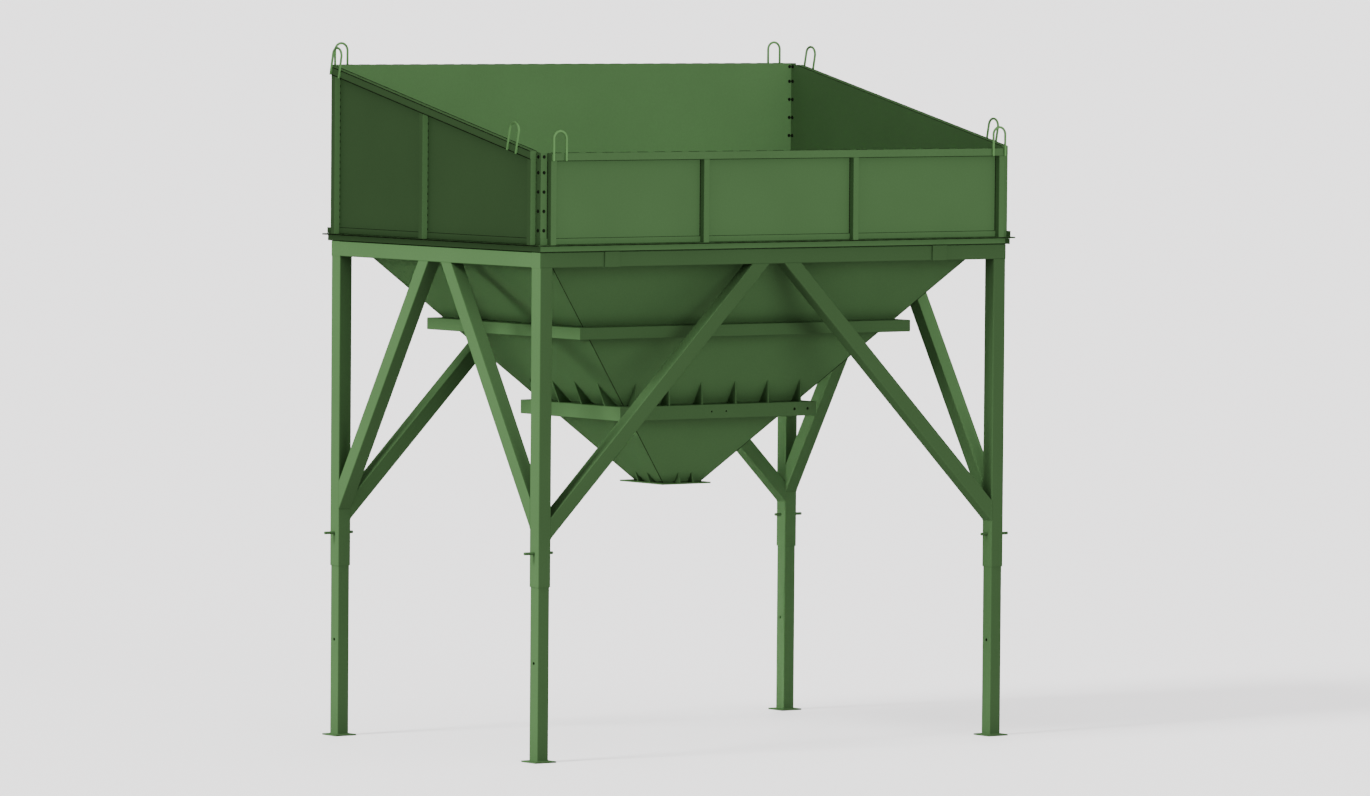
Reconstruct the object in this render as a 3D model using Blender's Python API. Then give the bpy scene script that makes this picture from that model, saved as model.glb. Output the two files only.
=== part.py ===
"""Open-topped receiving hopper: a bin above an inverted pyramid, on a braced frame with telescopic legs.

Metres, +Z up, +X along the low front wall, +Y towards the high rear wall.
The origin is on the ground, under the middle of the frame.
"""
import math

import bpy
import bmesh
from mathutils import Matrix, Vector

NAME = "receiving_hopper"
GAP = 0.0003
STEP = 0.001   # joined shapes stop this far apart, where their faces would lie in one plane

# Frame
FRAME_LENGTH = 3.84
FRAME_WIDTH = 2.40
BEAM_TOP = 3.31
TUBE = 0.100
TUBE_WALL = 0.004
SLEEVE_BOTTOM = 1.14
BRACE_ANGLE_FRONT = math.radians(45.0)
BRACE_ANGLE_SIDE = math.radians(58.7)
BRACE_FOOT_FRONT = 1.452
BRACE_FOOT_SIDE = 1.52
VENT_DIAMETER = 0.030
SEAT_PLATE_LENGTH = 0.120
SEAT_PLATE_THICKNESS = 0.010
SEAT_PLATE_X = 1.35

# Telescopic legs
INNER_TUBE = 0.090
INNER_LEG_TOP = 2.20
FOOT_PLATE = 0.165
FOOT_THICKNESS = 0.010
PIN_HEIGHT = 1.36
PIN_SPACING = 0.715
PIN_DIAMETER = 0.020
PIN_OUTSIDE = 0.077
PIN_INSIDE = 0.049

# Hopper
HOPPER_SHEET = 0.004
HOPPER_BOTTOM = 1.710
OUTLET_SIDE = 0.300
FLANGE_JOINT = 3.355
ANGLE_LEG = 0.045
ANGLE_THICKNESS = 0.005
UPPER_RING_TOP = 2.800
UPPER_RING_BAR = 0.080
LOWER_RING_TOP = 2.252
LOWER_RING_BAR = 0.095
GUSSET_HEIGHT = 0.150
GUSSET_THICKNESS = 0.008
FRONT_GUSSETS = (-0.682, -0.410, -0.140, 0.140, 0.410, 0.682)
SIDE_GUSSETS = (-0.390, -0.128, 0.128, 0.390)
RING_HOLES = ((-0.060, 0.012), (0.060, 0.012), (0.630, 0.020), (0.740, 0.020))
OUTLET_PLATE_X = 0.400
OUTLET_PLATE_FRONT = -0.213
OUTLET_PLATE_REAR = 0.273
OUTLET_PLATE_THICKNESS = 0.010
OUTLET_GUSSET_HEIGHT = 0.067
OUTLET_GUSSET_X = 0.055
OUTLET_GUSSET_Y = 0.065

# Bin
WALL_SHEET = 0.004
FRONT_WALL_TOP = 3.955
REAR_WALL_TOP = 4.485
RAIL = 0.050
POST_WIDTH = 0.045
CORNER_LEG = 0.050
FRONT_POST_X = 0.616
SIDE_POST_Y = 0.100

# Lifting loops, placed by the distance of their middle from the corner of the bin
LOOP_ROD = 0.016
LOOP_WIDTH = 0.100
LOOP_HEIGHT = 0.200
LOOP_FROM_CORNER = 0.110
LOOP_FROM_LOW_CORNER = 0.250
LOOP_ARC_STEPS = 12

# Worked out from the sizes above
HALF_LENGTH = FRAME_LENGTH / 2
HALF_WIDTH = FRAME_WIDTH / 2
BEAM_BOTTOM = BEAM_TOP - TUBE
LEG_X = HALF_LENGTH - TUBE / 2
LEG_Y = HALF_WIDTH - TUBE / 2
BAY_X = HALF_LENGTH - TUBE
BAY_Y = HALF_WIDTH - TUBE
HOPPER_LOW = HOPPER_BOTTOM + GAP
LIP_BOTTOM = BEAM_TOP + GAP
LIP_TOP = LIP_BOTTOM + ANGLE_THICKNESS
TOP_SLOPE = math.atan2(REAR_WALL_TOP - FRONT_WALL_TOP, FRAME_WIDTH)
CORNERS = {"front_left": (-1, -1), "front_right": (1, -1), "rear_left": (-1, 1), "rear_right": (1, 1)}
SIDES = {"front": -1, "rear": 1, "left": -1, "right": 1}
LENGTHWISE = ("front", "rear")

# Paint
GREEN = (0.105, 0.205, 0.075)
LIGHT_GREEN = (0.190, 0.380, 0.130)


def new_collection(name):
    made = bpy.data.collections.new(name)
    bpy.context.scene.collection.children.link(made)
    return made


def paint(name, colour, roughness):
    material = bpy.data.materials.new(name)
    material.use_nodes = True
    shader = material.node_tree.nodes["Principled BSDF"]
    shader.inputs["Base Color"].default_value = (*colour, 1.0)
    shader.inputs["Roughness"].default_value = roughness
    return material


def as_helper(thing):
    """A cutter, or a shape that is joined into another: never a piece of its own."""
    thing.hide_render = True
    thing.display_type = "WIRE"


def add_object(name, bm, material=None):
    """Turn a bmesh into a piece, or into a helper when it has no material."""
    bm.normal_update()
    bmesh.ops.recalc_face_normals(bm, faces=bm.faces)
    mesh = bpy.data.meshes.new(name)
    bm.to_mesh(mesh)
    bm.free()
    made = bpy.data.objects.new(name, mesh)
    if material:
        mesh.materials.append(material)
        pieces.objects.link(made)
    else:
        as_helper(made)
        helpers.objects.link(made)
    return made


def box(name, low, high, material=None):
    """A straight box between two opposite corners, given in any order."""
    middle = (Vector(low) + Vector(high)) / 2
    size = [abs(b - a) for a, b in zip(low, high)]
    bm = bmesh.new()
    bmesh.ops.create_cube(bm, size=1.0)
    bmesh.ops.scale(bm, vec=size, verts=bm.verts)
    bmesh.ops.translate(bm, vec=middle, verts=bm.verts)
    return add_object(name, bm, material)


def rod(name, start, end, diameter, material=None, segments=24):
    """A round bar or a round cutter between two points."""
    axis = Vector(end) - Vector(start)
    middle = (Vector(start) + Vector(end)) / 2
    bm = bmesh.new()
    bmesh.ops.create_cone(bm, cap_ends=True, segments=segments, radius1=diameter / 2,
                          radius2=diameter / 2, depth=axis.length)
    turn = axis.to_track_quat("Z", "Y").to_matrix().to_4x4()
    bmesh.ops.transform(bm, matrix=Matrix.Translation(middle) @ turn, verts=bm.verts)
    made = add_object(name, bm, material)
    made.data.shade_smooth()
    made.data.set_sharp_from_angle(angle=math.radians(40))
    return made


def plate(name, outline, normal, low, high, material=None):
    """A flat outline of (position, height) points, extruded from low to high along X or Y."""
    bm = bmesh.new()
    if normal == "X":
        points = [(low, a, z) for a, z in outline]
        push = (high - low, 0, 0)
    else:
        points = [(a, low, z) for a, z in outline]
        push = (0, high - low, 0)
    face = bm.faces.new([bm.verts.new(point) for point in points])
    pushed = bmesh.ops.extrude_face_region(bm, geom=[face])
    moved = [item for item in pushed["geom"] if isinstance(item, bmesh.types.BMVert)]
    bmesh.ops.translate(bm, vec=push, verts=moved)
    return add_object(name, bm, material)


def boolean(target, tool, operation="DIFFERENCE"):
    step = target.modifiers.new(tool.name, "BOOLEAN")
    step.operation = operation
    step.solver = "EXACT"
    step.object = tool


def cut(target, *tools):
    for tool in tools:
        boolean(target, tool)


def join(target, *tools):
    for tool in tools:
        boolean(target, tool, "UNION")


def grown(size, step):
    return size[0] + step, size[1] + step


def side_bar(name, side, outer_low, inner_low, outer_high, inner_high, low, high, material=None,
             overrun=0.0):
    """One mitred side of a rectangular ring, whose sizes are (half length, half width).

    The ring may be wider at its top, and its top height may be a function of Y.
    A bore cutter overruns the mitres.
    """
    sign = SIDES[side]
    reach = overrun - GAP
    bm = bmesh.new()
    bmesh.ops.create_cube(bm, size=2.0)
    for corner in bm.verts:
        along, inwards, upwards = corner.co
        outer, inner = (outer_low, inner_low) if upwards < 0 else (outer_high, inner_high)
        half_x, half_y = outer if inwards < 0 else inner
        if side in LENGTHWISE:
            corner.co = (along * (half_x + reach), sign * half_y, low)
        else:
            corner.co = (sign * half_x, along * (half_y + reach), low)
        if upwards > 0:
            corner.co.z = high(corner.co.y) if callable(high) else high
    return add_object(name, bm, material)


def upright_bar(name, side, inner, width, low, high, material=None, overrun=0.0):
    """A mitred bar with upright faces, 'width' wide, around a rectangle of half sizes 'inner'."""
    outer = grown(inner, width)
    return side_bar(name, side, outer, inner, outer, inner, low, high, material, overrun)


def frame_beams(material):
    """Front and rear beams run the full length with closed ends; side beams fit between them."""
    bore = TUBE / 2 - TUBE_WALL
    low = BEAM_BOTTOM + TUBE_WALL
    high = BEAM_TOP - TUBE_WALL
    for side, sign in SIDES.items():
        if side in LENGTHWISE:
            y = sign * LEG_Y
            end = HALF_LENGTH - TUBE_WALL
            beam = box("frame_beam_" + side, (-HALF_LENGTH, y - TUBE / 2, BEAM_BOTTOM),
                       (HALF_LENGTH, y + TUBE / 2, BEAM_TOP), material)
            cut(beam, box(beam.name + "_bore", (-end, y - bore, low), (end, y + bore, high)))
            # A vent over each leg opens the closed beam into the leg.
            for x in (-LEG_X, LEG_X):
                cut(beam, rod(f"{beam.name}_vent_{x:+.2f}", (x, y, BEAM_BOTTOM - 0.01), (x, y, low + 0.01),
                              VENT_DIAMETER))
        else:
            x = sign * LEG_X
            end = BAY_Y - GAP
            beam = box("frame_beam_" + side, (x - TUBE / 2, -end, BEAM_BOTTOM), (x + TUBE / 2, end, BEAM_TOP),
                       material)
            cut(beam, box(beam.name + "_bore", (x - bore, -BAY_Y, low), (x + bore, BAY_Y, high)))


def brace_outline(reach, foot, angle, inset=0.0, overrun=0.0):
    """Slanted bar from a leg's face up to the beam's underside, as (distance from the middle, height)."""
    start = reach - GAP + overrun
    top = BEAM_BOTTOM - GAP + overrun
    slope = math.tan(angle)
    lower = foot + inset / math.cos(angle) - overrun * slope
    upper = foot + (TUBE - inset) / math.cos(angle) - overrun * slope
    return [(start, lower), (start, upper), (start - (top - upper) / slope, top),
            (start - (top - lower) / slope, top)]


def braces(material):
    """Two square tubes at each corner, one along the front or rear and one across the end."""
    bore = TUBE / 2 - TUBE_WALL
    kinds = (("along", "Y", BAY_X, BRACE_FOOT_FRONT, BRACE_ANGLE_FRONT),
             ("across", "X", BAY_Y, BRACE_FOOT_SIDE, BRACE_ANGLE_SIDE))
    for corner, (sx, sy) in CORNERS.items():
        for kind, normal, reach, foot, angle in kinds:
            sign, middle = (sx, sy * LEG_Y) if normal == "Y" else (sy, sx * LEG_X)
            name = f"brace_{kind}_{corner}"
            shape = [(sign * a, z) for a, z in brace_outline(reach, foot, angle)]
            hollow = [(sign * a, z) for a, z in brace_outline(reach, foot, angle, TUBE_WALL, overrun=0.02)]
            bar = plate(name, shape, normal, middle - TUBE / 2, middle + TUBE / 2, material)
            cut(bar, plate(name + "_bore", hollow, normal, middle - bore, middle + bore))


def upright_square(name, x, y, size, low, high, material=None):
    return box(name, (x - size / 2, y - size / 2, low), (x + size / 2, y + size / 2, high), material)


def pin_hole(name, x, y, level):
    return rod(name, (x - TUBE, y, level), (x + TUBE, y, level), PIN_DIAMETER + 2 * GAP)


def legs(sleeve_paint, foot_paint, pin_steel):
    """Outer leg, inner leg welded to its foot plate, and the pin that locks them."""
    levels = (PIN_HEIGHT - PIN_SPACING, PIN_HEIGHT, PIN_HEIGHT + PIN_SPACING)
    for corner, (sx, sy) in CORNERS.items():
        x = sx * LEG_X
        y = sy * LEG_Y
        sleeve = upright_square("leg_sleeve_" + corner, x, y, TUBE, SLEEVE_BOTTOM, BEAM_BOTTOM - GAP,
                                sleeve_paint)
        cut(sleeve, upright_square(sleeve.name + "_bore", x, y, TUBE - 2 * TUBE_WALL, SLEEVE_BOTTOM - 0.01,
                                   BEAM_BOTTOM),
            pin_hole(sleeve.name + "_hole", x, y, PIN_HEIGHT))
        inner = upright_square("leg_inner_" + corner, x, y, INNER_TUBE, FOOT_THICKNESS / 2, INNER_LEG_TOP,
                               foot_paint)
        cut(inner, upright_square(inner.name + "_bore", x, y, INNER_TUBE - 2 * TUBE_WALL, FOOT_THICKNESS,
                                  INNER_LEG_TOP + 0.01))
        join(inner, upright_square("foot_plate_" + corner, x, y, FOOT_PLATE, 0.0, FOOT_THICKNESS))
        for level in levels:
            cut(inner, pin_hole(f"{inner.name}_hole_{level:.2f}", x, y, level))
        rod("leg_pin_" + corner, (sx * (BAY_X - PIN_INSIDE), y, PIN_HEIGHT),
            (sx * (HALF_LENGTH + PIN_OUTSIDE), y, PIN_HEIGHT), PIN_DIAMETER, pin_steel)


def seat_plates(material):
    """Flat plates on the face of the front beam."""
    for side, sign in (("left", -1), ("right", 1)):
        low = sign * SEAT_PLATE_X - SEAT_PLATE_LENGTH / 2
        box("seat_plate_" + side, (low, -HALF_WIDTH - SEAT_PLATE_THICKNESS, BEAM_BOTTOM),
            (low + SEAT_PLATE_LENGTH, -HALF_WIDTH - GAP, BEAM_TOP), material)


def hopper_outside(z):
    """Half length and half width of the hopper's outer surface at a height."""
    share = (z - HOPPER_LOW) / (LIP_TOP - HOPPER_LOW)
    bottom = OUTLET_SIDE / 2 + HOPPER_SHEET
    return tuple(bottom + share * (bay - GAP - bottom) for bay in (BAY_X, BAY_Y))


def sheet_across(bay):
    """Level thickness of a sloping hopper sheet."""
    slope = math.atan2(LIP_TOP - HOPPER_LOW, bay - OUTLET_SIDE / 2)
    return HOPPER_SHEET / math.sin(slope)


def hopper_sheets(material):
    """Four sloping sheets, each with a lip over its beam and an angle that carries the bin."""
    joint = FLANGE_JOINT - GAP / 2
    rim = (HALF_LENGTH, HALF_WIDTH)
    inside_rim = grown(rim, -ANGLE_THICKNESS)
    outer_low = hopper_outside(HOPPER_LOW)
    outer_high = hopper_outside(LIP_TOP)
    inner_low = (outer_low[0] - sheet_across(BAY_X), outer_low[1] - sheet_across(BAY_Y))
    inner_high = (outer_high[0] - sheet_across(BAY_X), outer_high[1] - sheet_across(BAY_Y))
    start = grown(inner_high, HOPPER_SHEET / 4)
    for side in SIDES:
        sheet = side_bar("hopper_" + side, side, outer_low, inner_low, outer_high, inner_high, HOPPER_LOW,
                         LIP_TOP, material)
        lip = side_bar(sheet.name + "_lip", side, rim, start, rim, start, LIP_BOTTOM, LIP_TOP + STEP,
                       overrun=-STEP)
        upright = upright_bar(sheet.name + "_upright", side, inside_rim, ANGLE_THICKNESS + STEP,
                              LIP_BOTTOM + STEP, joint - STEP, overrun=-2 * STEP)
        flange = upright_bar(sheet.name + "_flange", side, inside_rim, ANGLE_THICKNESS + ANGLE_LEG,
                             joint - ANGLE_THICKNESS, joint, overrun=-3 * STEP)
        join(sheet, lip, upright, flange)


def gusset(name, side, place, outline):
    """A thin stiffener across a side of the hopper, from (outward distance, height) points."""
    normal = "X" if side in LENGTHWISE else "Y"
    points = [(SIDES[side] * out, z) for out, z in outline]
    return plate(name, points, normal, place - GUSSET_THICKNESS / 2, place + GUSSET_THICKNESS / 2)


def ring_bars(ring, top, size, material):
    """Four mitred square tubes round the hopper."""
    inner = grown(hopper_outside(top), GAP)
    bars = {}
    for side in SIDES:
        bar = upright_bar(f"{ring}_ring_{side}", side, inner, size, top - size, top, material)
        cut(bar, upright_bar(bar.name + "_bore", side, grown(inner, TUBE_WALL), size - 2 * TUBE_WALL,
                             top - size + TUBE_WALL, top - TUBE_WALL, overrun=0.02))
        bars[side] = bar
    return bars


def hopper_rings(material):
    """Upper ring, and lower ring with its gussets and the holes in its front bar."""
    ring_bars("upper", UPPER_RING_TOP, UPPER_RING_BAR, material)
    bars = ring_bars("lower", LOWER_RING_TOP, LOWER_RING_BAR, material)
    root = LOWER_RING_TOP - TUBE_WALL / 2
    peak = LOWER_RING_TOP + GUSSET_HEIGHT
    for side, bar in bars.items():
        axis, places = (1, FRONT_GUSSETS) if side in LENGTHWISE else (0, SIDE_GUSSETS)
        edge = hopper_outside(LOWER_RING_TOP)[axis] + LOWER_RING_BAR
        outline = [(hopper_outside(root)[axis] + 2 * GAP, root), (edge, root), (edge, LOWER_RING_TOP),
                   (hopper_outside(peak)[axis] + 2 * GAP, peak)]
        for place in places:
            join(bar, gusset(f"{bar.name}_gusset_{place:+.2f}", side, place, outline))
    face = -hopper_outside(LOWER_RING_TOP)[1] - LOWER_RING_BAR
    level = LOWER_RING_TOP - LOWER_RING_BAR / 2
    for place, diameter in RING_HOLES:
        cut(bars["front"], rod(f"ring_hole_{place:+.2f}", (place, face - 0.01, level),
                               (place, face + 0.01, level), diameter, segments=16))


def outlet_flange(material):
    """Flat plate with the square outlet, stiffened to the hopper by small gussets."""
    half = OUTLET_PLATE_X / 2
    opening = OUTLET_SIDE / 2
    flange = box("outlet_flange", (-half, OUTLET_PLATE_FRONT, HOPPER_BOTTOM - OUTLET_PLATE_THICKNESS),
                 (half, OUTLET_PLATE_REAR, HOPPER_BOTTOM), material)
    cut(flange, box("outlet_opening", (-opening, -opening, HOPPER_BOTTOM - 0.05),
                    (opening, opening, HOPPER_BOTTOM + 0.05)))
    root = HOPPER_BOTTOM - OUTLET_PLATE_THICKNESS / 2
    peak = HOPPER_BOTTOM + OUTLET_GUSSET_HEIGHT
    edges = {"front": -OUTLET_PLATE_FRONT, "rear": OUTLET_PLATE_REAR, "left": half, "right": half}
    for side in SIDES:
        axis, step = (1, OUTLET_GUSSET_X) if side in LENGTHWISE else (0, OUTLET_GUSSET_Y)
        foot = hopper_outside(HOPPER_BOTTOM)[axis] + 2 * GAP
        outline = [(foot, root), (edges[side], root), (edges[side], HOPPER_BOTTOM),
                   (hopper_outside(peak)[axis] + 2 * GAP, peak), (foot, HOPPER_BOTTOM)]
        for place in (-step, step):
            join(flange, gusset(f"outlet_gusset_{side}_{place:+.2f}", side, place, outline))


def wall_top(y):
    """Height of the side walls' sloping top edge."""
    return FRONT_WALL_TOP + (y + HALF_WIDTH) * math.tan(TOP_SLOPE)


def sheet_top(y):
    return wall_top(y) - STEP


def top_rail(name, side):
    """Square rail along the outside of a wall's top edge; on a side wall it slopes, with upright ends."""
    sign = SIDES[side]
    sheet_middle = WALL_SHEET / 2
    if side in LENGTHWISE:
        top = wall_top(sign * HALF_WIDTH)
        end = HALF_LENGTH - CORNER_LEG
        return box(name, (-end, sign * (HALF_WIDTH - sheet_middle), top - RAIL),
                   (end, sign * (HALF_WIDTH + RAIL), top))
    end = HALF_WIDTH - CORNER_LEG
    drop = RAIL / math.cos(TOP_SLOPE)
    outline = [(-end, wall_top(-end)), (end, wall_top(end)), (end, wall_top(end) - drop),
               (-end, wall_top(-end) - drop)]
    return plate(name, outline, "X", sign * (HALF_LENGTH - sheet_middle), sign * (HALF_LENGTH + RAIL))


def wall_post(name, side, place):
    """Upright square post on the outside of a wall, from the bottom flange into the top rail."""
    sign = SIDES[side]
    low = FLANGE_JOINT + ANGLE_THICKNESS / 2
    half = POST_WIDTH / 2
    sheet_middle = WALL_SHEET / 2
    if side in LENGTHWISE:
        high = wall_top(sign * HALF_WIDTH) - RAIL / 2
        return box(name, (place - half, sign * (HALF_WIDTH - sheet_middle), low),
                   (place + half, sign * (HALF_WIDTH + ANGLE_LEG - STEP), high))
    return box(name, (sign * (HALF_LENGTH - sheet_middle), place - half, low),
               (sign * (HALF_LENGTH + ANGLE_LEG - STEP), place + half, wall_top(place) - RAIL / 2))


def bin_walls(material):
    """Each wall is a sheet with an angle along its foot, posts on its outside and a rail along its top."""
    rim = (HALF_LENGTH, HALF_WIDTH)
    inside = grown(rim, -WALL_SHEET)
    low = FLANGE_JOINT + GAP / 2
    end_x = HALF_LENGTH - CORNER_LEG - POST_WIDTH / 2 - STEP
    end_y = HALF_WIDTH - CORNER_LEG - POST_WIDTH / 2 - STEP
    for side, sign in SIDES.items():
        wall = side_bar("wall_" + side, side, rim, inside, rim, inside, low, sheet_top, material)
        flange = upright_bar(wall.name + "_flange", side, grown(inside, STEP), WALL_SHEET + ANGLE_LEG - STEP,
                             low, low + ANGLE_THICKNESS, overrun=-STEP)
        upright = upright_bar(wall.name + "_upright", side, grown(rim, -WALL_SHEET / 2),
                              WALL_SHEET / 2 + ANGLE_THICKNESS, low + STEP, low + ANGLE_LEG,
                              overrun=-2 * STEP)
        places = (-end_y, SIDE_POST_Y, end_y)
        if side in LENGTHWISE:
            places = (-end_x, -FRONT_POST_X, FRONT_POST_X, end_x)
        posts = [wall_post(f"{wall.name}_post_{place:+.2f}", side, place) for place in places]
        join(wall, flange, upright, top_rail(wall.name + "_rail", side), *posts)


def corner_angles(material):
    """An angle bolted over each outer corner of the bin, from the foot angle to the top."""
    near_x = HALF_LENGTH + GAP
    near_y = HALF_WIDTH + GAP
    far_x = near_x + ANGLE_THICKNESS
    far_y = near_y + ANGLE_THICKNESS
    low = FLANGE_JOINT + ANGLE_LEG + GAP
    for corner, (sx, sy) in CORNERS.items():
        top = wall_top(sy * HALF_WIDTH)
        angle = box("corner_angle_" + corner, (sx * (far_x - CORNER_LEG), sy * near_y, low),
                    (sx * far_x, sy * far_y, top), material)
        join(angle, box(angle.name + "_leg", (sx * near_x, sy * (far_y - CORNER_LEG), low),
                        (sx * far_x, sy * far_y, top)))


def lifting_loop(name, foot, along, up, material):
    """Round bar bent to a U, with its two feet at the lower edge of a top rail."""
    arc = LOOP_WIDTH / 2
    straight = LOOP_HEIGHT - LOOP_ROD / 2 - arc
    route = [(-arc, 0.0)]
    for step in range(LOOP_ARC_STEPS + 1):
        turn = math.pi * (1 - step / LOOP_ARC_STEPS)
        route.append((arc * math.cos(turn), straight + arc * math.sin(turn)))
    route.append((arc, 0.0))
    curve = bpy.data.curves.new(name, "CURVE")
    curve.dimensions = "3D"
    curve.bevel_depth = LOOP_ROD / 2
    curve.bevel_resolution = 4
    curve.use_fill_caps = True
    curve.materials.append(material)
    spline = curve.splines.new("POLY")
    spline.points.add(len(route) - 1)
    for point, (a, h) in zip(spline.points, route):
        point.co = (*(foot + a * along + h * up), 1.0)
    pieces.objects.link(bpy.data.objects.new(name, curve))


def lifting_loops(material):
    """Two loops on the outer face of each top rail, square to the rail."""
    stand_off = RAIL + LOOP_ROD / 2 + GAP
    for side, sign in SIDES.items():
        if side in LENGTHWISE:
            reach = HALF_LENGTH - LOOP_FROM_CORNER
            places = {"left": -reach, "right": reach}
        else:
            places = {"front": -HALF_WIDTH + LOOP_FROM_LOW_CORNER, "rear": HALF_WIDTH - LOOP_FROM_CORNER}
        for end, place in places.items():
            if side in LENGTHWISE:
                foot = Vector((place, sign * (HALF_WIDTH + stand_off), wall_top(sign * HALF_WIDTH) - RAIL))
                along = Vector((1, 0, 0))
                up = Vector((0, 0, 1))
            else:
                drop = RAIL / math.cos(TOP_SLOPE)
                foot = Vector((sign * (HALF_LENGTH + stand_off), place, wall_top(place) - drop))
                along = Vector((0, math.cos(TOP_SLOPE), math.sin(TOP_SLOPE)))
                up = Vector((0, -math.sin(TOP_SLOPE), math.cos(TOP_SLOPE)))
            lifting_loop(f"lifting_loop_{side}_{end}", foot, along, up, material)


for old in list(bpy.data.objects):
    bpy.data.objects.remove(old)
pieces = new_collection(NAME)
helpers = new_collection(NAME + "_helpers")

frame_paint = paint("frame_paint", GREEN, 0.55)
legs(frame_paint, paint("inner_leg_paint", GREEN, 0.55), paint("pin_paint", GREEN, 0.45))
frame_beams(frame_paint)
braces(paint("brace_paint", GREEN, 0.55))
seat_plates(paint("seat_plate_paint", GREEN, 0.55))
hopper_paint = paint("hopper_paint", GREEN, 0.55)
hopper_sheets(hopper_paint)
hopper_rings(paint("ring_paint", GREEN, 0.55))
outlet_flange(paint("outlet_paint", GREEN, 0.55))
bin_paint = paint("bin_paint", GREEN, 0.55)
bin_walls(bin_paint)
corner_angles(paint("corner_paint", GREEN, 0.55))
lifting_loops(paint("loop_paint", LIGHT_GREEN, 0.5))
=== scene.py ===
import math

import bmesh
import bpy
from bpy.props import FloatProperty, FloatVectorProperty, PointerProperty
from bpy.types import Operator, Panel, PropertyGroup
from mathutils import Matrix, Vector


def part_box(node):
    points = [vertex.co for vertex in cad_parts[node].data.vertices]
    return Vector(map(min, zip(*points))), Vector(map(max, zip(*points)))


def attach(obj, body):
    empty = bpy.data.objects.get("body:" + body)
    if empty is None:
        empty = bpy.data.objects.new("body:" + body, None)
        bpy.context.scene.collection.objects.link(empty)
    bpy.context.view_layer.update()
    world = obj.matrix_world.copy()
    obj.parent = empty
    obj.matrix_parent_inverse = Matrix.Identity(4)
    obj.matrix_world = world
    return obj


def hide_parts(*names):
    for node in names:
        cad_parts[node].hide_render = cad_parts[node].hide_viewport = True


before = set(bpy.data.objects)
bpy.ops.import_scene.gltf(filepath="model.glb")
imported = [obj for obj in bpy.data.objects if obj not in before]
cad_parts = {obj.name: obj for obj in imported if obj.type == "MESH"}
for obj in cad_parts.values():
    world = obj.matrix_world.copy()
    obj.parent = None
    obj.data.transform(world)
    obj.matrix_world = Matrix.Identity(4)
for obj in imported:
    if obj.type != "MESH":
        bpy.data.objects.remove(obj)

bl_info = {
    "name": "Receiving Hopper",
    "version": (1, 0, 0),
    "blender": (4, 5, 0),
    "location": "3D View > Sidebar > Hopper",
    "description": "Models and paints an open-topped receiving hopper on four telescopic legs",
    "category": "Add Mesh",
}

SIDES = {"front": (0, -1), "rear": (0, 1), "left": (-1, 0), "right": (1, 0)}
CORNERS = {"front_left": (-1, -1), "front_right": (1, -1), "rear_left": (-1, 1), "rear_right": (1, 1)}
SQUARE = ((-1, -1), (1, -1), (1, 1), (-1, 1))
RIGHT = Vector((1, 0, 0))
BACK = Vector((0, 1, 0))
UP = Vector((0, 0, 1))

# Places along the lower ring's bars, from the middle of the bar.
LONG_BAR_GUSSETS = (-0.682, -0.410, -0.140, 0.140, 0.410, 0.682)
SHORT_BAR_GUSSETS = (-0.390, -0.128, 0.128, 0.390)
FRONT_BAR_HOLES = {-0.060: 0.012, 0.060: 0.012, 0.630: 0.020, 0.740: 0.020}

# How far inside a tube's flat outline the beads round it lie, because its corners are rounded.
BEAD_INSET = 0.002

# The bin's pieces and CAD nodes, which stand above the beams.
BIN_PIECES = ("Bin_wall", "Hopper_rim", "Seams", "Corner", "Lifting_loop", "Loop", "wall_")


def length(name, description, default):
    return FloatProperty(name=name, description=description, default=default, min=0.0, precision=4,
                         unit="LENGTH")


def slant(name, description, degrees):
    return FloatProperty(name=name, description=description, default=math.radians(degrees), subtype="ANGLE")


def colour(name, description, default):
    return FloatVectorProperty(name=name, description=description, default=default, size=3, min=0.0, max=1.0,
                               subtype="COLOR")


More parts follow.
